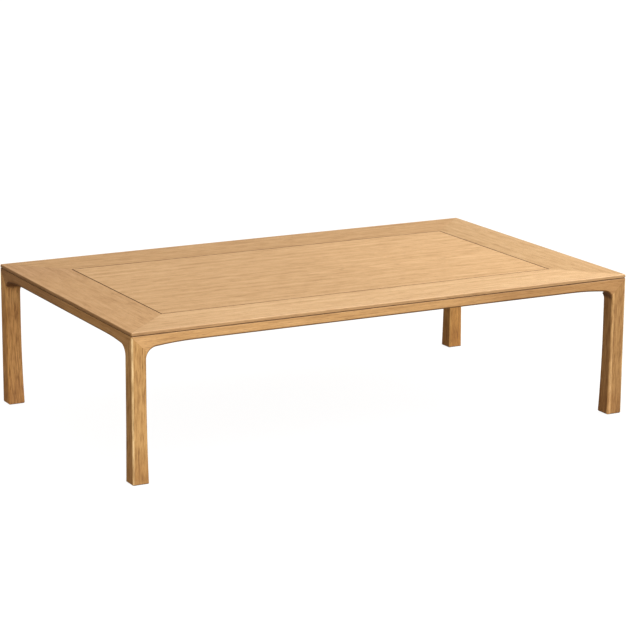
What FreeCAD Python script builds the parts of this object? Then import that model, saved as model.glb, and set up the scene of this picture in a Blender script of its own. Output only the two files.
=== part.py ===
import FreeCAD, Part
import math
import os
import re

import Sketcher

# Low oak table: a framed top laid into a rail frame, with flush legs mitred to the rails.
# Millimetres, +Z up, +X along the table. The origin is on the floor under the middle of the top.

# Driving dimensions
sizes = {
    # whole table
    "table_length": 1350,
    "table_width": 810,
    "table_height": 360,
    # edge of the table from the top down: lip of the top, shadow line, rail
    "lip_thickness": 7.5,
    "reveal_height": 2.5,
    "reveal_depth": 2.5,
    "rail_height": 23,
    "rail_width": 35,
    # legs, straight outside and flared inside towards the foot
    "leg_neck": 38,
    "foot_flare": 4,
    "flare_height": 220,
    "corner_round": 4,
    "arris_round": 5.5,
    "foot_chamfer": 2,
    # arch between leg and rail: a tight curve at the leg, then a slow one into the rail
    "front_corner_radius": 28,
    "front_sweep_radius": 850,
    "front_corner_turn": 83.5,
    "end_corner_radius": 25,
    "end_sweep_radius": 850,
    "end_corner_turn": 84,
    "rail_top_round": 1.2,
    # top: four mitred borders round a tongued panel
    "top_thickness": 16,
    "border_width": 137.5,
    "top_arris_round": 2.5,
    "seat_clearance": 1,
    "panel_groove_width": 3,
    "panel_groove_depth": 2.5,
    "tongue_drop": 6,
    "tongue_thickness": 4,
    "tongue_length": 6,
    "joint_clearance": 0.2,
    # loose splines in the border mitres, clear of the rails outside and of the panel's tongue inside
    "spline_width": 24,
    "spline_thickness": 4,
    "spline_outer_margin": 19,
    "spline_inner_margin": 4,
    # dowels across the three mitre faces of a corner
    "dowel_diameter": 8,
    "dowel_length": 24,
    "dowel_inset": 10,
    "dowel_arch_cover": 8,
    "rail_dowel_cover": 7,
    "rail_dowel_drop": 8,
    "dowel_clearance": 0.1,
    # blocks, battens and buttons stay this far above the lower edge of the rails
    "hidden_setback": 0.5,
    # glue blocks inside the frame corners
    "block_side": 70,
    "block_screw_near": 11,
    "block_screw_far": 37,
    # battens across the underside of the top
    "batten_width": 50,
    "batten_inset": 190,
    "batten_end_clearance": 0.3,
    "batten_chamfer": 3,
    "batten_rail_screw": 55,
    "batten_panel_screw": 131,
    # buttons that hold the top down, with their tongues in slots in the rails
    "button_width": 30,
    "button_length": 28,
    "button_gap": 0.5,
    "button_tongue_length": 9,
    "button_tongue_thickness": 5.5,
    "slot_play": 0.5,
    "slot_side_play": 5,
    "end_button_inset": 245,
    # countersunk wood screws
    "screw_diameter": 4,
    "screw_head_diameter": 8,
    "screw_head_height": 2.5,
    "screw_tip_length": 5,
    "screw_bite": 10,
    "recess_length": 4.4,
    "recess_width": 1,
    "recess_depth": 1.6,
    "screw_clearance": 0.1,
    # plastic glides let into the feet
    "glide_diameter": 16,
    "glide_thickness": 4,
    "glide_proud": 1,
    "glide_round": 0.6,
    "glide_clearance": 0.1,
    # how far a cut runs past the wood
    "overrun": 2,
}

# Lengths that follow from the driving dimensions
derived = {
    "half_length": "table_length / 2",
    "half_width": "table_width / 2",
    "frame_top": "table_height - lip_thickness - reveal_height",
    "rail_bottom": "frame_top - rail_height",
    "lip_underside": "table_height - lip_thickness",
    "top_underside": "table_height - top_thickness",
    "leg_foot": "leg_neck + foot_flare",
    "leg_blank": "max(leg_foot; leg_neck + front_corner_radius; leg_neck + end_corner_radius)",
    "flare_drop": "flare_height - glide_proud",
    "flare_radius": "(flare_drop * flare_drop + foot_flare * foot_flare) / (2 * foot_flare)",
    "corner_tip": "corner_round * (1 - cos(45))",
    "mitre_past_leg": "leg_blank + overrun",
    "border_seat": "rail_width + seat_clearance",
    "panel_groove_floor": "table_height - panel_groove_depth",
    "tongue_top": "table_height - tongue_drop",
    "tongue_bottom": "tongue_top - tongue_thickness",
    "spline_bottom": "table_height - top_thickness / 2 - spline_thickness / 2",
    "spline_near": "border_seat + spline_outer_margin",
    "spline_far": "border_width - tongue_length - joint_clearance - spline_inner_margin",
    "spline_setback": "(spline_near + spline_far) / 2",
    "spline_length": "(spline_far - spline_near) / cos(45) - spline_width",
    "dowel_depth": "leg_neck - dowel_arch_cover",
    "rail_dowel_depth": "rail_width - rail_dowel_cover",
    "hidden_bottom": "rail_bottom + hidden_setback",
    "hidden_height": "top_underside - hidden_bottom",
    "screw_length": "hidden_height + screw_bite",
    "block_screw_a": "rail_width + block_screw_near",
    "block_screw_b": "rail_width + block_screw_far",
    "batten_length": "table_width - 2 * rail_width - 2 * batten_end_clearance",
    "batten_spacing": "half_length - rail_width - batten_inset",
    "batten_screw_outer": "half_width - rail_width - batten_rail_screw",
    "batten_screw_inner": "half_width - border_width - batten_panel_screw",
    "button_near": "rail_width + button_gap",
    "button_far": "rail_width + button_length",
    "button_screw_inset": "(button_near + button_far) / 2",
    "button_tongue_end": "rail_width - button_tongue_length",
    "front_button_spacing": "batten_spacing / 2",
    "end_button_spacing": "half_width - rail_width - end_button_inset",
    "slot_height": "button_tongue_thickness + slot_play",
    "slot_depth": "button_tongue_length + slot_play",
    "slot_width": "button_width + 2 * slot_side_play",
    "slot_top": "(top_underside + rail_bottom + slot_height) / 2",
    "button_tongue_low": "slot_top - button_tongue_thickness",
}
for arch in ("front", "end"):
    derived[f"{arch}_knee_reach"] = f"leg_neck + {arch}_corner_radius * (1 - cos({arch}_corner_turn))"
    derived[f"{arch}_reach"] = f"{arch}_knee_reach + {arch}_sweep_radius * cos({arch}_corner_turn)"
    derived[f"{arch}_knee"] = f"rail_bottom - {arch}_sweep_radius * (1 - sin({arch}_corner_turn))"
    derived[f"{arch}_spring"] = f"{arch}_knee - {arch}_corner_radius * sin({arch}_corner_turn)"
    derived[f"{arch}_mitre_depth"] = f"frame_top - {arch}_spring + overrun"

# Largest miss at which a point still counts as lying on a plane
on_plane = 0.001

doc = FreeCAD.newDocument("LowTable")
sheet = doc.addObject("Spreadsheet::Sheet", "sizes")
for row, (alias, value) in enumerate(sizes.items(), start=1):
    sheet.set(f"A{row}", alias)
    sheet.set(f"B{row}", str(value))
    sheet.setAlias(f"B{row}", alias)
doc.recompute()

nodes = []


def spelled(text):
    """Write an expression of plain size names in terms of the sheet's cells."""
    def cell(match):
        word = match.group(0)
        if word in derived:
            return "(" + spelled(derived[word]) + ")"
        return "sizes." + word if word in sizes else word
    return re.sub(r"[A-Za-z_][A-Za-z_0-9]*", cell, text)


def length_of(text):
    return float(sheet.evalExpression(spelled(text)))


def bind(item, **expressions):
    for name, text in expressions.items():
        item.setExpression(name, spelled(text))


def place(item, x="0", y="0", z="0", axis=(0, 0, 1), angle=0):
    """Turn an object about an axis through its own origin, then move it there."""
    item.Placement.Rotation = FreeCAD.Rotation(FreeCAD.Vector(*axis), angle)
    for direction, text in (("x", x), ("y", y), ("z", z)):
        item.setExpression(f"Placement.Base.{direction}", spelled(text))


def add(kind, name, **expressions):
    item = doc.addObject(kind, name)
    bind(item, **expressions)
    return item


def node(item, label):
    item.Label = label
    nodes.append(item)
    return item


# Sketches

def new_sketch(body, name, plane, offset="0"):
    sketch = body.newObject("Sketcher::SketchObject", name)
    support = [item for item in body.Origin.OriginFeatures if item.Role == plane]
    sketch.AttachmentSupport = [(support[0], "")]
    sketch.MapMode = "FlatFace"
    sketch.setExpression("AttachmentOffset.Base.z", spelled(offset))
    return sketch


def left_turn(start, end, radius):
    """The arc from start to end that turns left, under a half circle."""
    chord = end - start
    aside = FreeCAD.Vector(-chord.y, chord.x, 0)
    aside.normalize()
    rise = math.sqrt(max(radius * radius - chord.Length * chord.Length / 4, 0))
    centre = (start + end) * 0.5 + aside * rise
    first = math.atan2(start.y - centre.y, start.x - centre.x)
    last = math.atan2(end.y - centre.y, end.x - centre.x)
    if last < first:
        last += 2 * math.pi
    circle = Part.Circle(centre, FreeCAD.Vector(0, 0, 1), radius)
    return Part.ArcOfCircle(circle, first, last)


def fix(sketch, constraint, text):
    number = sketch.addConstraint(constraint)
    sketch.setExpression(f"Constraints[{number}]", spelled(text))


def draw(sketch, corners):
    """Close an outline, anticlockwise. A corner with a radius starts an arc that turns left."""
    points = [FreeCAD.Vector(length_of(corner[0]), length_of(corner[1]), 0) for corner in corners]
    edges = []
    for here, corner in enumerate(corners):
        start = points[here]
        end = points[(here + 1) % len(points)]
        if len(corner) == 3:
            shape = left_turn(start, end, length_of(corner[2]))
        else:
            shape = Part.LineSegment(start, end)
        edges.append(sketch.addGeometry(shape, False))
    for here, corner in enumerate(corners):
        edge = edges[here]
        following = edges[(here + 1) % len(edges)]
        sketch.addConstraint(Sketcher.Constraint("Coincident", edge, 2, following, 1))
        fix(sketch, Sketcher.Constraint("DistanceX", -1, 1, edge, 1, points[here].x), corner[0])
        fix(sketch, Sketcher.Constraint("DistanceY", -1, 1, edge, 1, points[here].y), corner[1])
        if len(corner) == 3:
            fix(sketch, Sketcher.Constraint("Radius", edge, length_of(corner[2])), corner[2])


def draw_rectangle(sketch, left, right, low, high):
    draw(sketch, [(left, low), (right, low), (right, high), (left, high)])


def draw_circle(sketch, x, y, radius):
    centre = FreeCAD.Vector(length_of(x), length_of(y), 0)
    circle = Part.Circle(centre, FreeCAD.Vector(0, 0, 1), length_of(radius))
    edge = sketch.addGeometry(circle, False)
    fix(sketch, Sketcher.Constraint("DistanceX", -1, 1, edge, 3, centre.x), x)
    fix(sketch, Sketcher.Constraint("DistanceY", -1, 1, edge, 3, centre.y), y)
    fix(sketch, Sketcher.Constraint("Radius", edge, length_of(radius)), radius)


# Features of a body

def new_body(name):
    return doc.addObject("PartDesign::Body", name)


def pad(body, sketch, length, symmetric=False):
    feature = body.newObject("PartDesign::Pad", sketch.Name + "_pad")
    feature.Profile = sketch
    if symmetric:
        feature.SideType = "Symmetric"
    bind(feature, Length=length)
    return feature


def cut_through(body, sketch):
    feature = body.newObject("PartDesign::Pocket", sketch.Name + "_cut")
    feature.Profile = sketch
    feature.Type = "ThroughAll"
    feature.SideType = "Symmetric"
    return feature


def middle(edge):
    return edge.valueAt((edge.FirstParameter + edge.LastParameter) / 2)


def ease(body, kind, name, wanted, **expressions):
    """Round or chamfer the edges of the body whose middle point is wanted."""
    doc.recompute()
    base = body.Tip
    edges = [f"Edge{n}" for n, edge in enumerate(base.Shape.Edges, start=1) if wanted(middle(edge))]
    feature = body.newObject(kind, name)
    feature.Base = (base, edges)
    bind(feature, **expressions)
    return feature


# Pieces made from pieces

def mirrored(source, name, axis):
    copy = doc.addObject("Part::Mirroring", name)
    copy.Source = source
    copy.Normal = FreeCAD.Vector(*axis)
    return copy


across = (1, 0, 0)
along = (0, 1, 0)


def compound(name, items):
    group = doc.addObject("Part::Compound", name)
    group.Links = items
    return group


def cut(name, base, tools):
    result = doc.addObject("Part::Cut", name)
    result.Base = base
    result.Tool = compound(name + "_tools", tools)
    return result


def at_corners(source, kind):
    """Name a front left piece as a node and mirror it to the other three corners."""
    node(source, f"{kind}_front_left")
    node(mirrored(source, f"{kind}_fr", across), f"{kind}_front_right")
    back = node(mirrored(source, f"{kind}_bl", along), f"{kind}_back_left")
    node(mirrored(back, f"{kind}_br", across), f"{kind}_back_right")


# Outlines shared by several pieces

def mitred_plan(sketch, half, outer, inner):
    """Plan of a board with mitred ends; its outer edge lies along x, the inside is towards +y."""
    draw(sketch, [
        (f"-{half} + {outer}", outer),
        (f"{half} - {outer}", outer),
        (f"{half} - {inner}", inner),
        (f"-{half} + {inner}", inner),
    ])


def rounded_mitred_plan(sketch, half, inner):
    """The same plan from the outer face of the table, with its corners rounded."""
    draw(sketch, [
        (f"-{half} + corner_tip", "corner_tip", "corner_round"),
        (f"-{half} + corner_round", "0"),
        (f"{half} - corner_round", "0", "corner_round"),
        (f"{half} - corner_tip", "corner_tip"),
        (f"{half} - {inner}", inner),
        (f"-{half} + {inner}", inner),
    ])


def leg_opening(sketch, arch):
    """The space beside a leg: under the arch, down the neck and past the flared foot."""
    draw(sketch, [
        ("leg_foot", "glide_proud - overrun"),
        (f"{arch}_reach + overrun", "glide_proud - overrun"),
        (f"{arch}_reach + overrun", "rail_bottom"),
        (f"{arch}_reach", "rail_bottom", f"{arch}_sweep_radius"),
        (f"{arch}_knee_reach", f"{arch}_knee", f"{arch}_corner_radius"),
        ("leg_neck", f"{arch}_spring"),
        ("leg_neck", "flare_height", "flare_radius"),
        ("leg_foot", "glide_proud"),
    ])


def rail_opening(sketch, half, arch):
    """The space under a rail, arched at both ends."""
    low = f"{arch}_spring - overrun"
    draw(sketch, [
        (f"-{half} + leg_neck", low),
        (f"{half} - leg_neck", low),
        (f"{half} - leg_neck", f"{arch}_spring", f"{arch}_corner_radius"),
        (f"{half} - {arch}_knee_reach", f"{arch}_knee", f"{arch}_sweep_radius"),
        (f"{half} - {arch}_reach", "rail_bottom"),
        (f"-{half} + {arch}_reach", "rail_bottom", f"{arch}_sweep_radius"),
        (f"-{half} + {arch}_knee_reach", f"{arch}_knee", f"{arch}_corner_radius"),
        (f"-{half} + leg_neck", f"{arch}_spring"),
    ])


def rail_mitres(sketch, half, arch):
    """The two corners under the 45 degree mitres, which belong to the legs."""
    depth = f"{arch}_mitre_depth"
    draw(sketch, [
        (f"-{half} - overrun", "frame_top + overrun"),
        (f"-{half} - overrun", f"frame_top - {depth}"),
        (f"-{half} + {depth}", f"frame_top - {depth}"),
    ])
    draw(sketch, [
        (f"{half} - {depth}", f"frame_top - {depth}"),
        (f"{half} + overrun", f"frame_top - {depth}"),
        (f"{half} + overrun", "frame_top + overrun"),
    ])


# Dowels and their bores at the front left corner, across each pair of mitred faces

def corner_dowels(name, radius, length):
    slant = f"({length}) / 2 * cos(45)"
    front = add("Part::Cylinder", name + "_front", Radius=radius, Height=length)
    place(front, f"-half_length + dowel_depth - {slant}", "-half_width + dowel_inset",
          f"frame_top - dowel_depth - {slant}", (0, 1, 0), 45)
    end = add("Part::Cylinder", name + "_end", Radius=radius, Height=length)
    place(end, "-half_length + dowel_inset", f"-half_width + dowel_depth - {slant}",
          f"frame_top - dowel_depth - {slant}", (1, 0, 0), -45)
    flat = add("Part::Cylinder", name + "_flat", Radius=radius, Height=length)
    place(flat, f"-half_length + rail_dowel_depth - {slant}",
          f"-half_width + rail_dowel_depth + {slant}", "frame_top - rail_dowel_drop", (1, 1, 0), 90)
    return compound(name, [front, end, flat])


dowels = corner_dowels("dowels_fl", "dowel_diameter / 2", "dowel_length")
dowels_fr = mirrored(dowels, "dowels_fr", across)
dowels_bl = mirrored(dowels, "dowels_bl", along)
dowels_br = mirrored(dowels_bl, "dowels_br", across)
node(compound("dowels", [dowels, dowels_fr, dowels_bl, dowels_br]), "corner_dowels")

bores = corner_dowels("bores_fl", "dowel_diameter / 2 + dowel_clearance",
                      "dowel_length + 2 * dowel_clearance")
bores_fr = mirrored(bores, "bores_fr", across)
bores_bl = mirrored(bores, "bores_bl", along)


# Screws, driven upwards into the top, and the holes that they fill

def screw_blank(name, x, y, slack="0"):
    radius = f"screw_diameter / 2 + {slack}"
    shank_length = "screw_length - screw_head_height - screw_tip_length"
    head = add("Part::Cone", name + "_head", Radius1=f"screw_head_diameter / 2 + {slack}",
               Radius2=radius, Height="screw_head_height")
    place(head, x, y, "hidden_bottom")
    shank = add("Part::Cylinder", name + "_shank", Radius=radius, Height=shank_length)
    place(shank, x, y, "hidden_bottom + screw_head_height")
    tip = add("Part::Cone", name + "_tip", Radius1=radius, Radius2=slack,
              Height=f"screw_tip_length + {slack}")
    place(tip, x, y, f"hidden_bottom + screw_head_height + {shank_length}")
    blank = doc.addObject("Part::MultiFuse", name)
    blank.Shapes = [head, shank, tip]
    return blank


def wood_screw(name, x, y):
    """A screw with a cross recess in its head."""
    bars = []
    for length, width in (("recess_length", "recess_width"), ("recess_width", "recess_length")):
        slot = add("Part::Box", f"{name}_slot_{len(bars) + 1}", Length=length, Width=width,
                   Height="recess_depth + overrun")
        place(slot, f"{x} - {length} / 2", f"{y} - {width} / 2", "hidden_bottom - overrun")
        bars.append(slot)
    return cut(name, screw_blank(name + "_blank", x, y), bars)


def screw_set(label, places):
    """A node of screws at these places, and the holes for them."""
    screws = []
    holes = []
    for number, (x, y) in enumerate(places, start=1):
        name = f"{label}_{number}"
        screws.append(wood_screw(name, x, y))
        holes.append(screw_blank(name + "_hole", x, y, "screw_clearance"))
    node(compound(label + "_group", screws), label)
    return compound(label + "_holes", holes)


def in_quarters(x, y):
    """A place and its mirror images across both middle planes."""
    return [(f"{x_sign}({x})", f"{y_sign}({y})") for x_sign in signs for y_sign in signs]


signs = ("-", "")
batten_rows = {"batten_left": "-batten_spacing", "batten_middle": "0", "batten_right": "batten_spacing"}
batten_places = []
for x in batten_rows.values():
    for y_sign in signs:
        batten_places.append((x, f"{y_sign}(batten_screw_outer)"))
        batten_places.append((x, f"{y_sign}(batten_screw_inner)"))

block_holes = screw_set("block_screws",
                        in_quarters("half_length - block_screw_b", "half_width - block_screw_a")
                        + in_quarters("half_length - block_screw_a", "half_width - block_screw_b"))
button_holes = screw_set("button_screws",
                         in_quarters("front_button_spacing", "half_width - button_screw_inset")
                         + in_quarters("half_length - button_screw_inset", "end_button_spacing"))
batten_holes = screw_set("batten_screws", batten_places)


# Legs: square, flush with the rails outside, arched and flared inside

def leg_seen_from(arch, plane):
    """A leg with the shape of one elevation, straight through the corner the other way."""
    body = new_body(f"leg_{arch}_blank")
    plan = new_sketch(body, f"leg_{arch}_plan", "XY_Plane", "glide_proud")
    draw(plan, [
        ("corner_round", "0"),
        ("leg_blank", "0"),
        ("leg_blank", "leg_blank"),
        ("0", "leg_blank"),
        ("0", "corner_round", "corner_round"),
    ])
    pad(body, plan, "frame_top - glide_proud")
    opening = new_sketch(body, f"leg_{arch}_opening", plane)
    leg_opening(opening, arch)
    cut_through(body, opening)
    mitre = new_sketch(body, f"leg_{arch}_mitre", plane)
    draw(mitre, [
        ("-overrun", "frame_top + overrun"),
        ("mitre_past_leg", "frame_top - mitre_past_leg"),
        ("mitre_past_leg", "frame_top + overrun"),
    ])
    cut_through(body, mitre)

    neck = length_of("leg_neck")
    top = length_of("frame_top")
    foot = length_of("glide_proud")
    chamfer_top = length_of("glide_proud + foot_chamfer") + on_plane

    def inner_arris(point):
        aside, depth = (point.x, point.y) if arch == "front" else (point.y, point.x)
        on_mitre = abs(top - point.z - aside) < on_plane
        return depth < on_plane and aside > neck / 2 and point.z > chamfer_top and not on_mitre

    ease(body, "PartDesign::Chamfer", f"leg_{arch}_foot",
         lambda point: abs(point.z - foot) < on_plane, Size="foot_chamfer")
    ease(body, "PartDesign::Fillet", f"leg_{arch}_arris", inner_arris, Radius="arris_round")
    place(body, "-half_length", "-half_width")
    return body


def make_leg():
    leg = doc.addObject("Part::Common", "leg_shape")
    leg.Base = leg_seen_from("front", "XZ_Plane")
    leg.Tool = leg_seen_from("end", "YZ_Plane")
    socket = add("Part::Cylinder", "glide_socket", Radius="glide_diameter / 2 + glide_clearance",
                 Height="glide_thickness")
    place(socket, "-half_length + leg_foot / 2", "-half_width + leg_foot / 2")
    return cut("leg_fl", leg, [bores, socket])


at_corners(make_leg(), "leg")


# Rails: arched at both ends, with an upstand that carries the lip of the top

def make_rail(name, half, arch):
    body = new_body(name + "_blank")
    plan = new_sketch(body, name + "_plan", "XY_Plane", f"{arch}_spring")
    rounded_mitred_plan(plan, half, "rail_width")
    pad(body, plan, f"frame_top - {arch}_spring")
    upstand = new_sketch(body, name + "_upstand", "XY_Plane", "frame_top")
    mitred_plan(upstand, half, "reveal_depth", "rail_width")
    pad(body, upstand, "reveal_height")

    end = length_of(half)
    top = length_of("frame_top")
    bottom = length_of("rail_bottom")
    inside = length_of("rail_width")

    def upper_arris(point):
        return abs(point.y) < on_plane and abs(point.z - top) < on_plane

    def lower_arris(point):
        on_face = min(abs(point.y), abs(point.y - inside)) < on_plane
        on_mitre = abs((end - abs(point.x)) - (top - point.z)) < on_plane
        return on_face and point.z < bottom + on_plane and not on_mitre

    ease(body, "PartDesign::Fillet", name + "_upper_arris", upper_arris, Radius="rail_top_round")
    opening = new_sketch(body, name + "_opening", "XZ_Plane")
    rail_opening(opening, half, arch)
    cut_through(body, opening)
    mitres = new_sketch(body, name + "_mitres", "XZ_Plane")
    rail_mitres(mitres, half, arch)
    cut_through(body, mitres)
    ease(body, "PartDesign::Fillet", name + "_lower_arris", lower_arris, Radius="arris_round")
    return body


def button_slot(name, x, y, length, width):
    slot = add("Part::Box", name, Length=length, Width=width, Height="slot_height")
    place(slot, x, y, "slot_top - slot_height")
    return slot


rail_front = make_rail("rail_front", "half_length", "front")
place(rail_front, y="-half_width")
front_slots = [
    button_slot(f"front_slot_{number}", f"{x_sign}front_button_spacing - slot_width / 2",
                "-half_width + rail_width - slot_depth", "slot_width", "slot_depth")
    for number, x_sign in enumerate(signs, start=1)
]
rail_front = node(cut("rail_f", rail_front, [bores, bores_fr] + front_slots), "rail_front")
node(mirrored(rail_front, "rail_b", along), "rail_back")

rail_left = make_rail("rail_left", "half_width", "end")
place(rail_left, x="-half_length", angle=-90)
left_slots = [
    button_slot(f"left_slot_{number}", "-half_length + rail_width - slot_depth",
                f"{y_sign}end_button_spacing - slot_width / 2", "slot_depth", "slot_width")
    for number, y_sign in enumerate(signs, start=1)
]
rail_left = node(cut("rail_l", rail_left, [bores, bores_bl] + left_slots), "rail_left")
node(mirrored(rail_left, "rail_r", across), "rail_right")


# Splines in the mitres of the top, and the slots for them

def corner_spline(name, slack="0"):
    length = f"(spline_length + 2 * {slack})"
    width = f"(spline_width + 2 * {slack})"
    plate = add("Part::Box", name, Length=length, Width=width,
                Height=f"spline_thickness + 2 * {slack}")
    place(plate, f"-half_length + spline_setback - ({length} - {width}) / 2 * cos(45)",
          f"-half_width + spline_setback - ({length} + {width}) / 2 * cos(45)",
          f"spline_bottom - {slack}", angle=45)
    return plate


spline_slot = corner_spline("spline_slot_fl", "joint_clearance")
spline_slot_fr = mirrored(spline_slot, "spline_slot_fr", across)
spline_slot_bl = mirrored(spline_slot, "spline_slot_bl", along)
at_corners(corner_spline("spline_fl"), "mitre_spline")


# Borders of the top: a thin lip over the rails, thicker inside them, grooved for the panel

def make_border(name, half):
    body = new_body(name + "_blank")
    lip = new_sketch(body, name + "_lip", "XY_Plane", "lip_underside")
    rounded_mitred_plan(lip, half, "border_width")
    pad(body, lip, "lip_thickness")
    web = new_sketch(body, name + "_web", "XY_Plane", "top_underside")
    mitred_plan(web, half, "border_seat", "border_width")
    pad(body, web, "lip_underside - top_underside")
    groove = new_sketch(body, name + "_groove", "YZ_Plane")
    draw_rectangle(groove, "border_width - tongue_length - joint_clearance", "border_width + overrun",
                   "tongue_bottom - joint_clearance", "tongue_top + joint_clearance")
    cut_through(body, groove)
    top = length_of("table_height")

    def upper_arris(point):
        return abs(point.y) < on_plane and abs(point.z - top) < on_plane

    ease(body, "PartDesign::Fillet", name + "_arris", upper_arris, Radius="top_arris_round")
    return body


screw_holes = [block_holes, button_holes, batten_holes]
border_front = make_border("border_front", "half_length")
place(border_front, y="-half_width")
border_front = cut("border_f", border_front, [spline_slot, spline_slot_fr] + screw_holes)
node(border_front, "border_front")
node(mirrored(border_front, "border_b", along), "border_back")

border_left = make_border("border_left", "half_width")
place(border_left, x="-half_length", angle=-90)
border_left = cut("border_l", border_left, [spline_slot, spline_slot_bl] + screw_holes)
node(border_left, "border_left")
node(mirrored(border_left, "border_r", across), "border_right")


# Centre panel: a tongue all round, and a step that leaves the groove beside the borders

def make_panel():
    body = new_body("panel_blank")
    layers = (
        ("panel_core", "border_width + joint_clearance", "top_underside", "panel_groove_floor"),
        ("panel_face", "border_width + panel_groove_width", "panel_groove_floor", "table_height"),
        ("panel_tongue", "border_width - tongue_length", "tongue_bottom", "tongue_top"),
    )
    for name, inset, low, high in layers:
        sketch = new_sketch(body, name, "XY_Plane", low)
        x = f"half_length - ({inset})"
        y = f"half_width - ({inset})"
        draw_rectangle(sketch, f"-({x})", x, f"-({y})", y)
        pad(body, sketch, f"({high}) - ({low})")
    return cut("panel", body, [batten_holes])


node(make_panel(), "top_panel")


# Blocks in the frame corners

def make_block():
    body = new_body("block_blank")
    plan = new_sketch(body, "block_plan", "XY_Plane", "hidden_bottom")
    draw(plan, [
        ("rail_width", "rail_width"),
        ("rail_width + block_side", "rail_width"),
        ("rail_width", "rail_width + block_side"),
    ])
    pad(body, plan, "hidden_height")
    place(body, "-half_length", "-half_width")
    return cut("block_fl", body, [block_holes])


at_corners(make_block(), "corner_block")


# Battens, with their lower edges chamfered

def make_batten(label, x):
    body = new_body(label + "_blank")
    profile = new_sketch(body, label + "_profile", "XZ_Plane")
    draw(profile, [
        ("-batten_width / 2 + batten_chamfer", "hidden_bottom"),
        ("batten_width / 2 - batten_chamfer", "hidden_bottom"),
        ("batten_width / 2", "hidden_bottom + batten_chamfer"),
        ("batten_width / 2", "top_underside"),
        ("-batten_width / 2", "top_underside"),
        ("-batten_width / 2", "hidden_bottom + batten_chamfer"),
    ])
    pad(body, profile, "batten_length", symmetric=True)
    place(body, x)
    return cut(label + "_drilled", body, [batten_holes])


for label, x in batten_rows.items():
    node(make_batten(label, x), label)


# Buttons: a tongue in the rail's slot and a block screwed under the top

def make_button(name):
    body = new_body(name + "_blank")
    profile = new_sketch(body, name + "_profile", "YZ_Plane")
    draw(profile, [
        ("button_near", "hidden_bottom"),
        ("button_far", "hidden_bottom"),
        ("button_far", "top_underside"),
        ("button_near", "top_underside"),
        ("button_near", "slot_top"),
        ("button_tongue_end", "slot_top"),
        ("button_tongue_end", "button_tongue_low"),
        ("button_near", "button_tongue_low"),
    ])
    pad(body, profile, "button_width", symmetric=True)
    return body


front_button = make_button("front_button")
place(front_button, "-front_button_spacing", "-half_width")
front_button = node(cut("button_f", front_button, [button_holes]), "button_front_left")
node(mirrored(front_button, "button_fr", across), "button_front_right")
back_button = node(mirrored(front_button, "button_bl", along), "button_back_left")
node(mirrored(back_button, "button_br", across), "button_back_right")

left_button = make_button("left_button")
place(left_button, "-half_length", "-end_button_spacing", angle=-90)
left_button = node(cut("button_l", left_button, [button_holes]), "button_left_front")
node(mirrored(left_button, "button_rf", across), "button_right_front")
left_back_button = node(mirrored(left_button, "button_lb", along), "button_left_back")
node(mirrored(left_back_button, "button_rb", across), "button_right_back")


# Glides

def make_glide():
    body = new_body("glide_fl")
    disc = new_sketch(body, "glide_disc", "XY_Plane")
    draw_circle(disc, "leg_foot / 2", "leg_foot / 2", "glide_diameter / 2")
    pad(body, disc, "glide_thickness")
    ease(body, "PartDesign::Fillet", "glide_edge",
         lambda point: abs(point.z) < on_plane, Radius="glide_round")
    place(body, "-half_length", "-half_width")
    return body


at_corners(make_glide(), "foot_glide")

doc.recompute()
failed = [item.Name for item in doc.Objects if "Invalid" in item.State or "Error" in item.State]
failed += [item.Label for item in nodes if not item.Shape.Solids or not item.Shape.isValid()]
if failed:
    raise RuntimeError("these objects failed: " + ", ".join(failed))

os.makedirs("parts", exist_ok=True)
for item in nodes:
    item.Shape.exportStep(f"parts/{item.Label}.step")
print(len(nodes), "nodes written")
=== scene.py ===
import math

import bpy
from mathutils import Euler, Matrix, Vector


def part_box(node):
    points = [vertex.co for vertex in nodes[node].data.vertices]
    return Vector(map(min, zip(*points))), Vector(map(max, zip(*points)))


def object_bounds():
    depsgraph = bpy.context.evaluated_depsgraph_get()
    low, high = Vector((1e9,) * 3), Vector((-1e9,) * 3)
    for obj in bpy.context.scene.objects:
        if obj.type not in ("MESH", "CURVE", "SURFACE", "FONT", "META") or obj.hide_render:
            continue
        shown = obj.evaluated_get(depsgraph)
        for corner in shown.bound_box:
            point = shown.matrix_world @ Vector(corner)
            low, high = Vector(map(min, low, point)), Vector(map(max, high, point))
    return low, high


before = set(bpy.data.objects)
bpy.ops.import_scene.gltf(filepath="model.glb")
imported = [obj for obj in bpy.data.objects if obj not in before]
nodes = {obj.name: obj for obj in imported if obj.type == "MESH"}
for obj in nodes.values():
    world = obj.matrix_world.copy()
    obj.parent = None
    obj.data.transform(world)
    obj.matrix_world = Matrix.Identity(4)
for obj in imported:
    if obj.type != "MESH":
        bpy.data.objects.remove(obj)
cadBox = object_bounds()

bpy.ops.object.select_all(action="DESELECT")   # the loaded pieces come in selected
print("frame loaded,", len(nodes), "pieces")


# camera

cameraView = {
    "azimuth": -28.477,
    "elevation": 13.679,
    "roll": 0.409,
    "lens": 136.822,
    "sensor": 36,
    "farthest": 500,
    "place": (-2.8245, -5.25468, 1.6807),
}

def addCamera(view):
    bpy.ops.object.camera_add(location=view["place"])
    camera = bpy.context.object
    camera.name = "photoCamera"
    camera.data.lens = view["lens"]
    camera.data.sensor_width = view["sensor"]
    camera.data.clip_end = view["farthest"]
    turn = math.radians(view["azimuth"])
    rise = math.radians(view["elevation"])
    back = Vector((math.sin(turn) * math.cos(rise), -math.cos(turn) * math.cos(rise), math.sin(rise)))
    right = Vector((0, 0, 1)).cross(back).normalized()
    frameTurn = Matrix((right, back.cross(right), back)).transposed()
    roll = Matrix.Rotation(math.radians(view["roll"]), 3, "Z")
    camera.rotation_euler = (frameTurn @ roll).to_euler()
    bpy.context.scene.camera = camera

addCamera(cameraView)
print("camera set")


# node helpers

nodeGrid = {"columns": 9, "width": 190, "height": 330}

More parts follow.
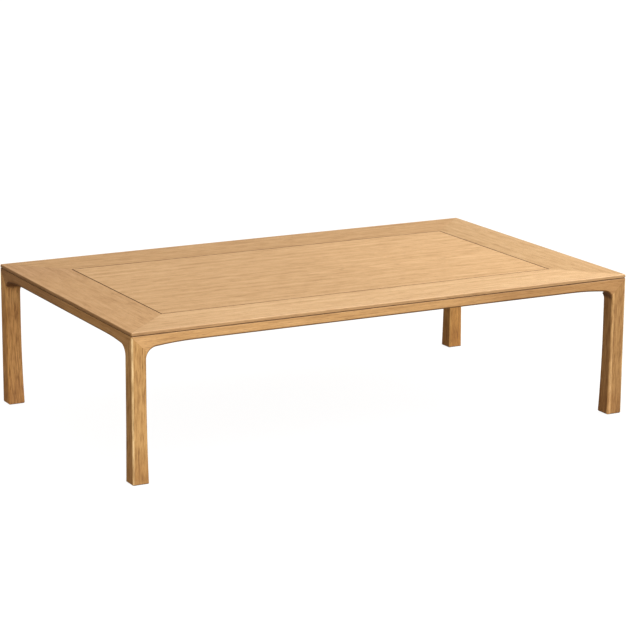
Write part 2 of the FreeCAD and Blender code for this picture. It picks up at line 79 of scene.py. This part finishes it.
def addNode(tree, kind, inputs=None, **settings):
    node = tree.nodes.new(kind)
    row, column = divmod(len(tree.nodes) - 1, nodeGrid["columns"])
    node.location = (column * nodeGrid["width"], -row * nodeGrid["height"])
    for name, value in settings.items():
        setattr(node, name, value)
    for socket, value in (inputs or {}).items():
        if isinstance(value, bpy.types.NodeSocket):
            tree.links.new(value, node.inputs[socket])
        else:
            node.inputs[socket].default_value = value
    return node

def calc(tree, operation, first, second=0.0, third=0.0, clamp=False):
    inputs = {0: first, 1: second, 2: third}
    return addNode(tree, "ShaderNodeMath", inputs, operation=operation, use_clamp=clamp).outputs[0]

def vectorCalc(tree, operation, first, second=(0, 0, 0), third=(0, 0, 0)):
    inputs = {0: first, 1: second, 2: third}
    node = addNode(tree, "ShaderNodeVectorMath", inputs, operation=operation)
    return node.outputs["Value" if operation in ("LENGTH", "DOT_PRODUCT") else "Vector"]

def centred(tree, value):
    # moves a noise from around one half to around zero
    return calc(tree, "SUBTRACT", value, 0.5)

def noise(tree, vector, scale, detail=2.0, roughness=0.5, output="Fac"):
    # scale is how many blotches there are in a metre along each axis
    stretched = vectorCalc(tree, "MULTIPLY", vector, scale)
    inputs = {"Vector": stretched, "Scale": 1.0, "Detail": detail, "Roughness": roughness}
    return addNode(tree, "ShaderNodeTexNoise", inputs).outputs[output]

def spread(tree, value, low, high, toLow=0.0, toHigh=1.0):
    inputs = {"Value": value, "From Min": low, "From Max": high, "To Min": toLow, "To Max": toHigh}
    return addNode(tree, "ShaderNodeMapRange", inputs, interpolation_type="SMOOTHSTEP").outputs["Result"]

def ramp(tree, value, stops):
    node = addNode(tree, "ShaderNodeValToRGB", {"Fac": value})
    elements = node.color_ramp.elements
    while len(elements) < len(stops):
        elements.new(0.5)
    for element, (position, colour) in zip(elements, stops):
        element.position = position
        element.color = colour
    return node.outputs["Color"]

def darkened(tree, colour, amount, shade):
    # multiplies the colour by a shade where the amount is one
    node = addNode(tree, "ShaderNodeMix", {"Factor": amount}, data_type="RGBA", blend_type="MULTIPLY")
    tree.links.new(colour, node.inputs[6])
    node.inputs[7].default_value = shade
    return node.outputs[2]

def bandTinted(tree, colour, coords, mark):
    # changes the colour between pairs of parallel planes, on one side of the table or alike on all
    places = coords if mark["oneSided"] else vectorCalc(tree, "ABSOLUTE", coords)
    amount = 1.0
    for across, low, high, soft in mark["limits"]:
        place = vectorCalc(tree, "DOT_PRODUCT", places, across)
        rise = spread(tree, place, low - soft, low)
        fall = spread(tree, place, high, high + soft, 1.0, 0.0)
        amount = calc(tree, "MULTIPLY", calc(tree, "MULTIPLY", rise, fall), amount)
    return darkened(tree, colour, amount, mark["shade"])

lowerEdge = {"begins": 0.05, "full": 0.45, "fades": 0.88, "gone": 0.98}

def facingDown(tree):
    # one on the rounded lower edges, zero on upright faces and flat undersides; it places the painted shade on edges
    # that turn down
    normal = addNode(tree, "ShaderNodeNewGeometry").outputs["Normal"]
    down = vectorCalc(tree, "DOT_PRODUCT", normal, (0, 0, -1))
    rise = spread(tree, down, lowerEdge["begins"], lowerEdge["full"])
    fall = spread(tree, down, lowerEdge["fades"], lowerEdge["gone"], 1.0, 0.0)
    return calc(tree, "MULTIPLY", rise, fall)

def newMaterial(name):
    material = bpy.data.materials.new(name)
    material.use_nodes = True
    tree = material.node_tree
    tree.nodes.clear()
    out = addNode(tree, "ShaderNodeOutputMaterial")
    shader = addNode(tree, "ShaderNodeBsdfPrincipled")
    tree.links.new(shader.outputs["BSDF"], out.inputs["Surface"])
    return material, tree, shader

def dress(nodeName, material):
    for slot in nodes[nodeName].material_slots:
        slot.material = material


# oak: rings round a pith beside the board, with pores, flecks and fine fibre along the grain

grainTurns = {"x": (0, 0, 0), "y": (0, 0, -90), "z": (0, 90, 0)}

clearOak = {
    "ringWidth": 0.0028,
    "wanderScale": (0.9, 3.5, 3.5),
    "sway": 0.030,
    "rippleScale": (7, 40, 40),
    "ripple": 0.003,
    "yearScale": 120,
    "earlyWood": ((0.0, 1.0), (0.18, 0.8), (0.5, 0.15), (0.93, 0.0), (1.0, 0.9)),
    "bandScale": 62,
    "pale": (0.626, 0.388, 0.190, 1),
    "mid": (0.535, 0.313, 0.140, 1),
    "deep": (0.363, 0.191, 0.075, 1),
    "midPlace": 0.45,
    "poreShade": (0.50, 0.42, 0.34, 1),
    "figureBase": 0.35,
    "bandShare": 0.32,
    "earlyShare": 0.20,
    "streakScale": (6, 130, 130),
    "streakShare": 0.50,
    "mottleScale": (19, 46, 46),
    "mottleShare": 0.50,
    "fleckScale": (21, 230, 230),
    "fleckFrom": 0.60,
    "fleckFull": 0.74,
    "fleckShare": 0.35,
    "fibreScale": (14, 1100, 1100),
    "fibreShare": 0.3,
    "fibreHeight": 0.3,
    "poreScale": (60, 1700, 1700),
    "poreFrom": 0.54,
    "poreFull": 0.68,
    "poreEarly": 0.75,
    "poreLate": 0.2,
    "poreDepth": 0.7,
    "smooth": 0.36,
    "rough": 0.52,
    "bump": 0.25,
    "bumpHeight": 0.0004,
}

warmOak = dict(clearOak, pale=(0.575, 0.325, 0.118, 1), mid=(0.465, 0.248, 0.080, 1),
               deep=(0.290, 0.136, 0.038, 1), streakScale=(22, 340, 340), streakShare=1.3,
               mottleScale=(30, 130, 130), mottleShare=0.9, fleckShare=0.6, underEdgePaintedShade=(0.45, 0.41, 0.38, 1))

railOak = dict(warmOak, pale=(0.605, 0.348, 0.134, 1), mid=(0.505, 0.276, 0.094, 1),
               deep=(0.330, 0.160, 0.048, 1), streakScale=(8, 200, 200), streakShare=0.6,
               mottleScale=(9, 80, 80), mottleShare=0.5, fleckShare=0.35)

innerWood = dict(clearOak, ringWidth=0.0035, pale=(0.60, 0.42, 0.24, 1), mid=(0.53, 0.35, 0.18, 1),
                 deep=(0.44, 0.27, 0.12, 1), smooth=0.5, rough=0.65)

dowelWood = dict(clearOak, ringWidth=0.002, pale=(0.64, 0.47, 0.29, 1), mid=(0.58, 0.40, 0.22, 1),
                 deep=(0.48, 0.31, 0.15, 1), smooth=0.55, rough=0.7)

def woodMaterial(name, look, grain, centre, pith, tilt=(0, 0, 0), toneAndLight=(1, 1, 1), marks=()):
    material, tree, shader = newMaterial(name)
    turn = Euler([math.radians(grainTurns[grain][axis] + tilt[axis]) for axis in range(3)])
    shift = Vector(pith) - turn.to_matrix() @ Vector(centre)
    coords = addNode(tree, "ShaderNodeTexCoord").outputs["Object"]
    mapping = {"Vector": coords, "Location": shift, "Rotation": turn}
    along = addNode(tree, "ShaderNodeMapping", mapping).outputs[0]
    wander = noise(tree, along, look["wanderScale"], roughness=0.45, output="Color")
    wood = vectorCalc(tree, "MULTIPLY_ADD", wander, (0, look["sway"], look["sway"]), along)
    ripple = noise(tree, along, look["rippleScale"], detail=1.0, output="Color")
    wood = vectorCalc(tree, "MULTIPLY_ADD", ripple, (0, look["ripple"], look["ripple"]), wood)
    radius = vectorCalc(tree, "LENGTH", vectorCalc(tree, "MULTIPLY", wood, (0, 1, 1)))

    # growth rings: open early wood at the start of each year
    yearInputs = {"W": radius, "Scale": look["yearScale"], "Detail": 1.0}
    years = addNode(tree, "ShaderNodeTexNoise", yearInputs, noise_dimensions="1D").outputs["Fac"]
    ringCount = calc(tree, "MULTIPLY_ADD", radius, 1 / look["ringWidth"], years)
    ring = calc(tree, "FRACT", ringCount)
    early = ramp(tree, ring, [(place, (grey, grey, grey, 1)) for place, grey in look["earlyWood"]])
    bandInputs = {"W": radius, "Scale": look["bandScale"], "Detail": 4.0, "Roughness": 0.6}
    band = addNode(tree, "ShaderNodeTexNoise", bandInputs, noise_dimensions="1D").outputs["Fac"]

    # streaks, flecks and pores
    streak = noise(tree, wood, look["streakScale"], detail=4.0, roughness=0.6)
    mottle = noise(tree, wood, look["mottleScale"], detail=4.0, roughness=0.62)
    fibre = noise(tree, wood, look["fibreScale"], roughness=0.6)
    fleckNoise = noise(tree, wood, look["fleckScale"], roughness=0.55)
    fleck = spread(tree, fleckNoise, look["fleckFrom"], look["fleckFull"])
    poreNoise = noise(tree, wood, look["poreScale"], detail=1.0)
    pore = spread(tree, poreNoise, look["poreFrom"], look["poreFull"])
    porous = calc(tree, "MULTIPLY_ADD", early, look["poreEarly"], look["poreLate"])
    openPore = calc(tree, "MULTIPLY", pore, porous)

    figure = calc(tree, "MULTIPLY_ADD", centred(tree, band), look["bandShare"] * 2, look["figureBase"])
    figure = calc(tree, "MULTIPLY_ADD", early, look["earlyShare"], figure)
    figure = calc(tree, "MULTIPLY_ADD", centred(tree, streak), look["streakShare"] * 2, figure)
    figure = calc(tree, "MULTIPLY_ADD", centred(tree, mottle), look["mottleShare"] * 2, figure)
    figure = calc(tree, "MULTIPLY_ADD", fleck, look["fleckShare"], figure)
    figure = calc(tree, "MULTIPLY_ADD", centred(tree, fibre), look["fibreShare"], figure, clamp=True)
    stops = []
    for position, key in ((0.0, "pale"), (look["midPlace"], "mid"), (1.0, "deep")):
        stops.append((position, [part * share for part, share in zip(look[key], toneAndLight)] + [1]))
    colour = darkened(tree, ramp(tree, figure, stops), openPore, look["poreShade"])
    for mark in marks:
        colour = bandTinted(tree, colour, coords, mark)
    # painted shade on the rounded lower edges that turn down
    if "underEdgePaintedShade" in look:
        colour = darkened(tree, colour, facingDown(tree), look["underEdgePaintedShade"])

    fibreHeight = calc(tree, "MULTIPLY", fibre, look["fibreHeight"])
    height = calc(tree, "MULTIPLY_ADD", openPore, -look["poreDepth"], fibreHeight)
    bumpInputs = {"Height": height, "Strength": look["bump"], "Distance": look["bumpHeight"]}
    bump = addNode(tree, "ShaderNodeBump", bumpInputs)
    tree.links.new(colour, shader.inputs["Base Color"])
    tree.links.new(spread(tree, figure, 0.0, 1.0, look["smooth"], look["rough"]), shader.inputs["Roughness"])
    tree.links.new(bump.outputs["Normal"], shader.inputs["Normal"])
    return material

def dressWood(nodeName, look, grain, pith, tilt=(0, 0, 0), toneAndLight=(1, 1, 1), marks=()):
    low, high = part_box(nodeName)
    centre = (low + high) / 2
    dress(nodeName, woodMaterial(nodeName + "_wood", look, grain, centre, pith, tilt, toneAndLight, marks))


# top

# each border's tone is partly the wood's own and partly painted light: the front border paler and bluer, the back and
# left borders darker
topBoards = {
    "top_panel": {"grain": "x", "pith": (0.4, 0.03, 0.075), "tilt": (0, 1.2, 0.5), "toneAndLight": (0.98, 0.99, 1.00)},
    "border_front": {"grain": "x", "pith": (2.1, 0.16, 0.05), "tilt": (0, 0.3, 0.2), "toneAndLight": (1.10, 1.16, 1.25)},
    "border_back": {"grain": "x", "pith": (3.7, 0.13, 0.06), "tilt": (0, -0.3, 0.2), "toneAndLight": (0.88, 0.86, 0.82)},
    "border_left": {"grain": "y", "pith": (5.2, 0.14, 0.05), "tilt": (0, 0.3, -0.2), "toneAndLight": (0.88, 0.85, 0.81)},
    "border_right": {"grain": "y", "pith": (6.6, -0.15, 0.05), "tilt": (0, 0.2, 0.3), "toneAndLight": (0.91, 0.93, 0.93)},
}
# the groove round the panel and the edge of the lip get painted shade and the joints of the borders a darker line,
# placed from the frame
halfLength, halfWidth, tableTop = cadBox[1]
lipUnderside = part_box("rail_front")[1][2]
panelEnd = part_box("border_right")[0][0]
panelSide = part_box("border_back")[0][1]
topJointsAndPaintedShade = {
    "grooveDepth": 0.0025,
    "grooveSoft": 0.0003,
    "groovePaintedShade": (0.15, 0.045, 0.01, 1),
    "arris": 0.0013,
    "arrisSoft": 0.0012,
    "lipPaintedShade": (0.71, 0.67, 0.61, 1),
    "joint": 0.0004,
    "jointShade": (0.80, 0.76, 0.72, 1),
}

# a band of changed colour: darker joint lines, and also painted shade and painted highlights
def colourMark(shade, *limits, oneSided=False):
    return {"shade": shade, "limits": limits, "oneSided": oneSided}

def jointLine(across, place, look):
    return colourMark(look["jointShade"], (across, place - look["joint"], place + look["joint"], look["joint"]))

def lightAndToneChange(across, start, full, shade):
    # a slow change along a board, begun and full at these shares of half the table: partly painted light and shade as
    # the light falls off, partly the wood's own tone
    half = halfLength if across[0] else halfWidth
    return colourMark(shade, (across, full * half, half, (full - start) * half), oneSided=True)

grooveTop = tableTop - topJointsAndPaintedShade["grooveSoft"]
topMarks = {
    # painted shade in the groove round the panel, on the panel's edge and along and across the borders
    "panelGroove": colourMark(topJointsAndPaintedShade["groovePaintedShade"],
                            ((0, 0, 1), tableTop - 2 * topJointsAndPaintedShade["grooveDepth"], grooveTop, topJointsAndPaintedShade["grooveSoft"])),
    "grooveAlong": colourMark(topJointsAndPaintedShade["groovePaintedShade"], ((0, 1, 0), 0.0, panelSide, topJointsAndPaintedShade["grooveSoft"])),
    "grooveAcross": colourMark(topJointsAndPaintedShade["groovePaintedShade"], ((1, 0, 0), 0.0, panelEnd, topJointsAndPaintedShade["grooveSoft"])),
    # painted shade on the lip's upright face, darker than the lit top of the same board
    "lipEdge": colourMark(topJointsAndPaintedShade["lipPaintedShade"],
                        ((0, 0, 1), lipUnderside, tableTop - topJointsAndPaintedShade["arris"], topJointsAndPaintedShade["arrisSoft"])),
    "mitre": jointLine((1, -1, 0), halfLength - halfWidth, topJointsAndPaintedShade),
}
# painted light and shade: the panel paler to the right, the front border darker to the left, the left border paler to
# the front and darker to the back, the front rail darker to the right, the left rail darker to the back
boardLightAndTone = {
    "top_panel": [lightAndToneChange((1, 0, 0), -0.15, 0.45, (1.07, 1.08, 1.09, 1))],
    "border_front": [lightAndToneChange((-1, 0, 0), 0.60, 0.92, (0.94, 0.92, 0.90, 1))],
    "border_left": [lightAndToneChange((0, -1, 0), 0.35, 0.84, (1.06, 1.07, 1.08, 1)),
                    lightAndToneChange((0, 1, 0), 0.25, 0.79, (0.90, 0.87, 0.88, 1))],
    "rail_front": [lightAndToneChange((1, 0, 0), 0.27, 0.50, (0.78, 0.73, 0.68, 1))],
    "rail_left": [lightAndToneChange((0, 1, 0), -0.12, 0.22, (0.76, 0.72, 0.72, 1))],
}
for nodeName, board in topBoards.items():
    if nodeName == "top_panel":
        marks = [topMarks["panelGroove"]]
    else:
        groove = "grooveAlong" if board["grain"] == "x" else "grooveAcross"
        marks = [topMarks["lipEdge"], topMarks["mitre"], topMarks[groove]]
    dressWood(nodeName, clearOak, marks=marks + boardLightAndTone.get(nodeName, []), **board)
print("top dressed")


# rails and legs

# each tone is partly the wood's own and partly painted light: the back legs warmer with painted bounce light, the
# front right leg darker where less light falls
frameBoards = {
    "rail_front": {"grain": "x", "pith": (1.3, 0.07, 0.05), "tilt": (0, 0.4, 0.3), "toneAndLight": (1.07, 1.12, 1.30)},
    "rail_back": {"grain": "x", "pith": (4.3, 0.06, -0.06), "tilt": (0, -0.4, 0.3), "toneAndLight": (1.07, 1.12, 1.30)},
    "rail_left": {"grain": "y", "pith": (7.3, 0.06, 0.07), "tilt": (0, 0.5, 0.2), "toneAndLight": (0.93, 0.93, 0.95)},
    "rail_right": {"grain": "y", "pith": (8.3, -0.07, 0.05), "tilt": (0, -0.5, 0.2), "toneAndLight": (1.00, 1.02, 1.10)},
    "leg_front_left": {"grain": "z", "pith": (9.3, 0.05, 0.01), "tilt": (0, 0.6, 1.0), "toneAndLight": (0.97, 1.00, 1.02)},
    "leg_front_right": {"grain": "z", "pith": (10.3, 0.06, 0.05), "tilt": (0, -0.4, 0.5), "toneAndLight": (0.80, 0.79, 0.81)},
    "leg_back_left": {"grain": "z", "pith": (11.3, 0.05, -0.04), "tilt": (0, 0.5, -0.6), "toneAndLight": (1.10, 1.04, 0.94)},
    "leg_back_right": {"grain": "z", "pith": (12.3, 0.06, 0.04), "tilt": (0, 0.4, 0.6), "toneAndLight": (1.00, 0.92, 0.72)},
}
# painted shade in the recess under the lip, the mitres as darker lines, and on the legs painted highlights on the
# corners and inner edges, painted light near the heads, and darker feet
frameJointsAndPaintedLight = {
    "shadowLine": 0.0025,
    "recessSoft": 0.0004,
    "recessPaintedShade": (0.15, 0.10, 0.065, 1),
    "cornerHighlightWidth": 0.0040,
    "cornerTurn": 0.0016,
    "cornerReach": 0.012,
    "cornerSoft": 0.0008,
    "cornerHighlight": (1.45, 1.80, 2.5, 1),
    "neck": 0.038,
    "innerHighlightWidth": 0.0046,
    "innerReach": 0.0046,
    "innerSoft": 0.0014,
    "innerHighlight": (1.65, 1.85, 2.2, 1),
    "footHeight": 0.03,
    "footFade": 0.06,
    "footShade": (0.86, 0.80, 0.75, 1),
    "headHeight": 0.29,
    "headFade": 0.05,
    "skin": 0.003,
    "joint": 0.0003,
    "jointShade": (0.84, 0.80, 0.76, 1),
}
frameTop = lipUnderside - frameJointsAndPaintedLight["shadowLine"]
neckLine = halfLength - frameJointsAndPaintedLight["neck"]
cornerSum = halfLength + halfWidth
cornerGap = halfLength - halfWidth
frameMarks = {
    # painted shade on the rail's upstand in the recess under the lip
    "recess": colourMark(frameJointsAndPaintedLight["recessPaintedShade"],
                       ((0, 0, 1), frameTop + frameJointsAndPaintedLight["recessSoft"], tableTop, frameJointsAndPaintedLight["recessSoft"])),
    "frontMitre": jointLine((1, 0, -1), halfLength - frameTop, frameJointsAndPaintedLight),
    "endMitre": jointLine((0, 1, -1), halfWidth - frameTop, frameJointsAndPaintedLight),
    # painted highlight along the rounded outer corner of each leg, on its long side
    "corner": colourMark(frameJointsAndPaintedLight["cornerHighlight"],
                       ((1, 1, 0), cornerSum - frameJointsAndPaintedLight["cornerReach"], cornerSum, frameJointsAndPaintedLight["cornerSoft"]),
                       ((1, -1, 0), cornerGap - frameJointsAndPaintedLight["cornerHighlightWidth"], cornerGap + frameJointsAndPaintedLight["cornerTurn"],
                        frameJointsAndPaintedLight["cornerSoft"])),
    "foot": colourMark(frameJointsAndPaintedLight["footShade"], ((0, 0, 1), 0.0, frameJointsAndPaintedLight["footHeight"], frameJointsAndPaintedLight["footFade"])),
    # painted highlight along the rounded edge where a leg's inner face meets its long outer face
    "innerEdge": colourMark(frameJointsAndPaintedLight["innerHighlight"],
                          ((1, 0, 0), 0.0, neckLine + frameJointsAndPaintedLight["innerHighlightWidth"], frameJointsAndPaintedLight["innerSoft"]),
                          ((0, 1, 0), halfWidth - frameJointsAndPaintedLight["innerReach"], halfWidth, frameJointsAndPaintedLight["innerSoft"])),
}
legHead = ((0, 0, 1), frameJointsAndPaintedLight["headHeight"], tableTop, frameJointsAndPaintedLight["headFade"])
leftSkin = ((-1, 0, 0), halfLength - frameJointsAndPaintedLight["skin"], halfLength, frameJointsAndPaintedLight["skin"])
innerSkin = ((1, 0, 0), 0.0, neckLine, frameJointsAndPaintedLight["skin"])
# painted light near the heads of the left legs, painted shade on the back right leg's inner face
legPaintedLight = {
    "leg_front_left": [colourMark((1.22, 1.30, 1.45, 1), legHead, leftSkin, oneSided=True)],
    "leg_back_left": [colourMark((1.18, 1.28, 1.45, 1), legHead)],
    "leg_back_right": [colourMark((0.84, 0.90, 0.92, 1), innerSkin)],
}
for nodeName, board in frameBoards.items():
    if nodeName.startswith("leg_"):
        look = warmOak
        marks = [frameMarks[key] for key in ("frontMitre", "endMitre", "corner", "foot")]
        marks += legPaintedLight.get(nodeName, [])
        if nodeName.endswith("_right"):   # the left legs' inner edges look plain
            # the right legs get the painted highlight on their inner edges
            marks.append(frameMarks["innerEdge"])
    else:
        look = railOak
        joint = "frontMitre" if board["grain"] == "x" else "endMitre"
        marks = [frameMarks["recess"], frameMarks[joint]]
    dressWood(nodeName, look, marks=marks + boardLightAndTone.get(nodeName, []), **board)
print("rails and legs dressed")


# pieces under the top

battenBoards = {
    "batten_left": {"grain": "y", "pith": (1.7, 0.05, 0.03), "toneAndLight": (0.97, 0.97, 0.97)},
    "batten_middle": {"grain": "y", "pith": (2.7, 0.05, 0.05), "toneAndLight": (1.0, 1.0, 1.0)},
    "batten_right": {"grain": "y", "pith": (3.7, 0.05, 0.07), "toneAndLight": (1.03, 1.03, 1.03)},
}
for nodeName, board in battenBoards.items():
    dressWood(nodeName, innerWood, **board)

hiddenPiths = {"block": (0.2, 0.9, 0.02), "button": (0.6, 0.9, 0.02), "peg": (0.6, 0.9, 0.02)}
dowelLow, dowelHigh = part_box("corner_dowels")
dowelMiddle = (dowelLow + dowelHigh) / 2
blockWood = woodMaterial("block_wood", innerWood, "x", dowelMiddle, hiddenPiths["block"])
buttonWood = woodMaterial("button_wood", innerWood, "y", dowelMiddle, hiddenPiths["button"])
pegWood = woodMaterial("peg_wood", dowelWood, "z", dowelMiddle, hiddenPiths["peg"])
for nodeName in nodes:
    if nodeName.startswith("corner_block"):
        dress(nodeName, blockWood)
    elif nodeName.startswith("button_") and nodeName != "button_screws":
        dress(nodeName, buttonWood)
dress("corner_dowels", pegWood)

plyLayers = {
    "layer": 0.0008,
    "layerShare": 0.6,
    "grainScale": (60, 60, 900),
    "grainShare": 0.5,
    "pale": (0.55, 0.36, 0.18, 1),
    "deep": (0.33, 0.19, 0.09, 1),
    "smooth": 0.55,
    "rough": 0.75,
}

def plyMaterial(name, look):
    material, tree, shader = newMaterial(name)
    coords = addNode(tree, "ShaderNodeTexCoord").outputs["Object"]
    height = addNode(tree, "ShaderNodeSeparateXYZ", {"Vector": coords}).outputs["Z"]
    layer = calc(tree, "PINGPONG", height, look["layer"])
    layer = calc(tree, "DIVIDE", layer, look["layer"])
    grain = noise(tree, coords, look["grainScale"], detail=3.0, roughness=0.6)
    layered = calc(tree, "MULTIPLY", layer, look["layerShare"])
    mixed = calc(tree, "MULTIPLY_ADD", grain, look["grainShare"], layered, clamp=True)
    tree.links.new(ramp(tree, mixed, [(0.2, look["pale"]), (0.9, look["deep"])]), shader.inputs["Base Color"])
    tree.links.new(spread(tree, grain, 0.2, 0.8, look["smooth"], look["rough"]), shader.inputs["Roughness"])
    return material

splinePly = plyMaterial("spline_ply", plyLayers)
for nodeName in nodes:
    if nodeName.startswith("mitre_spline"):
        dress(nodeName, splinePly)
print("hidden wood dressed")


# screws and glides

plating = {
    "bright": (0.66, 0.65, 0.62, 1),
    "dull": (0.46, 0.45, 0.43, 1),
    "bloomScale": (420, 420, 420),
    "smooth": 0.28,
    "rough": 0.46,
}

def platedSteel(name, look):
    material, tree, shader = newMaterial(name)
    coords = addNode(tree, "ShaderNodeTexCoord").outputs["Object"]
    bloom = noise(tree, coords, look["bloomScale"], detail=3.0, roughness=0.6)
    tree.links.new(ramp(tree, bloom, [(0.3, look["bright"]), (0.75, look["dull"])]), shader.inputs["Base Color"])
    tree.links.new(spread(tree, bloom, 0.3, 0.75, look["smooth"], look["rough"]), shader.inputs["Roughness"])
    shader.inputs["Metallic"].default_value = 1.0
    return material

screwSteel = platedSteel("screw_steel_plated", plating)
for nodeName in ("block_screws", "button_screws", "batten_screws"):
    dress(nodeName, screwSteel)

glide = {
    "plain": (0.055, 0.042, 0.032, 1),
    "worn": (0.095, 0.078, 0.064, 1),
    "mottleScale": (260, 260, 260),
    "speckScale": (2600, 2600, 2600),
    "smooth": 0.42,
    "rough": 0.6,
    "bump": 0.2,
    "bumpHeight": 0.0002,
}

def glidePlastic(name, look):
    material, tree, shader = newMaterial(name)
    coords = addNode(tree, "ShaderNodeTexCoord").outputs["Object"]
    mottle = noise(tree, coords, look["mottleScale"], detail=3.0, roughness=0.6)
    speck = noise(tree, coords, look["speckScale"], detail=1.0)
    tree.links.new(ramp(tree, mottle, [(0.35, look["plain"]), (0.8, look["worn"])]), shader.inputs["Base Color"])
    tree.links.new(spread(tree, mottle, 0.3, 0.8, look["smooth"], look["rough"]), shader.inputs["Roughness"])
    bumpInputs = {"Height": speck, "Strength": look["bump"], "Distance": look["bumpHeight"]}
    bump = addNode(tree, "ShaderNodeBump", bumpInputs)
    tree.links.new(bump.outputs["Normal"], shader.inputs["Normal"])
    return material

glideNylon = glidePlastic("glide_nylon", glide)
for nodeName in nodes:
    if nodeName.startswith("foot_glide"):
        dress(nodeName, glideNylon)
print("screws and glides dressed")


# floor and light

studio = {
    "floorSize": 400,
    "floorPale": (0.095, 0.094, 0.092, 1),
    "floorPaler": (0.105, 0.104, 0.103, 1),
    "floorGlow": (0.95, 0.95, 0.95, 1),
    "floorCloud": (0.7, 0.7, 0.7),
    "floorRough": 0.9,
    "floorShine": 0.1,
    "frontFrom": (0.0, -1.0, 0.22),
    "frontStrength": 1.2,
    "frontSpread": 30,
    "topFrom": (0.35, -0.25, 1),
    "topStrength": 1.2,
    "topSpread": 60,
    "panels": {
        "keyPanel": {"place": (-0.9, -1.9, 0.9), "size": 0.8, "watts": 7, "colour": (1, 1, 1)},
        "sidePanel": {"place": (1.5, -0.5, 1.3), "size": 1.2, "watts": 19, "colour": (0.95, 1.0, 1.06)},
    },
    "skyTowards": (0.15, -0.3, 0.94),
    "skyUnder": (0.16, 0.12, 0.09, 1),
    "skyDim": (0.44, 0.32, 0.205, 1),
    "skyMid": (0.52, 0.46, 0.39, 1),
    "skyPale": (0.88, 0.88, 0.88, 1),
    "skyStops": (0.1, 0.42, 0.66, 0.9),
}

def addFloor(look):
    bpy.ops.mesh.primitive_plane_add(size=look["floorSize"])
    floor = bpy.context.object
    floor.name = "studioFloor"
    material, tree, shader = newMaterial("floor_paper")
    coords = addNode(tree, "ShaderNodeTexCoord").outputs["Object"]
    cloud = noise(tree, coords, look["floorCloud"])
    colour = ramp(tree, cloud, [(0.3, look["floorPale"]), (0.7, look["floorPaler"])])
    tree.links.new(colour, shader.inputs["Base Color"])
    shader.inputs["Roughness"].default_value = look["floorRough"]
    shader.inputs["Specular IOR Level"].default_value = look["floorShine"]
    shader.inputs["Emission Color"].default_value = look["floorGlow"]
    shader.inputs["Emission Strength"].default_value = 1.0
    floor.data.materials.append(material)
    floor.visible_diffuse = False   # the sky alone lights the wood from below
    floor.visible_glossy = False
    floor.visible_shadow = False

def addSun(name, source, strength, spreadAngle):
    bpy.ops.object.light_add(type="SUN")
    sun = bpy.context.object
    sun.name = name
    sun.data.energy = strength
    sun.data.angle = math.radians(spreadAngle)
    sun.rotation_euler = Vector(source).to_track_quat("Z", "Y").to_euler()

def addPanel(name, look):
    # a soft lamp aimed at the middle of the table
    bpy.ops.object.light_add(type="AREA", location=look["place"])
    lamp = bpy.context.object
    lamp.name = name
    lamp.data.size = look["size"]
    lamp.data.energy = look["watts"]
    lamp.data.color = look["colour"]
    lamp.rotation_euler = Vector(look["place"]).to_track_quat("Z", "Y").to_euler()
    lamp.visible_camera = False
    lamp.visible_glossy = False

def addSky(look):
    world = bpy.data.worlds.new("studioSky")
    bpy.context.scene.world = world
    world.use_nodes = True
    tree = world.node_tree
    back = tree.nodes["Background"]
    towards = Vector(look["skyTowards"]).normalized()
    coords = addNode(tree, "ShaderNodeTexCoord").outputs["Generated"]
    facing = vectorCalc(tree, "DOT_PRODUCT", coords, towards)
    colours = [look[key] for key in ("skyUnder", "skyDim", "skyMid", "skyPale")]
    sky = ramp(tree, calc(tree, "MULTIPLY_ADD", facing, 0.5, 0.5), list(zip(look["skyStops"], colours)))
    tree.links.new(sky, back.inputs["Color"])

addFloor(studio)
addSun("frontLight", studio["frontFrom"], studio["frontStrength"], studio["frontSpread"])
addSun("topLight", studio["topFrom"], studio["topStrength"], studio["topSpread"])
for lampName, lamp in studio["panels"].items():
    addPanel(lampName, lamp)
addSky(studio)
bpy.context.scene.view_settings.view_transform = "Standard"
print("floor and light set")
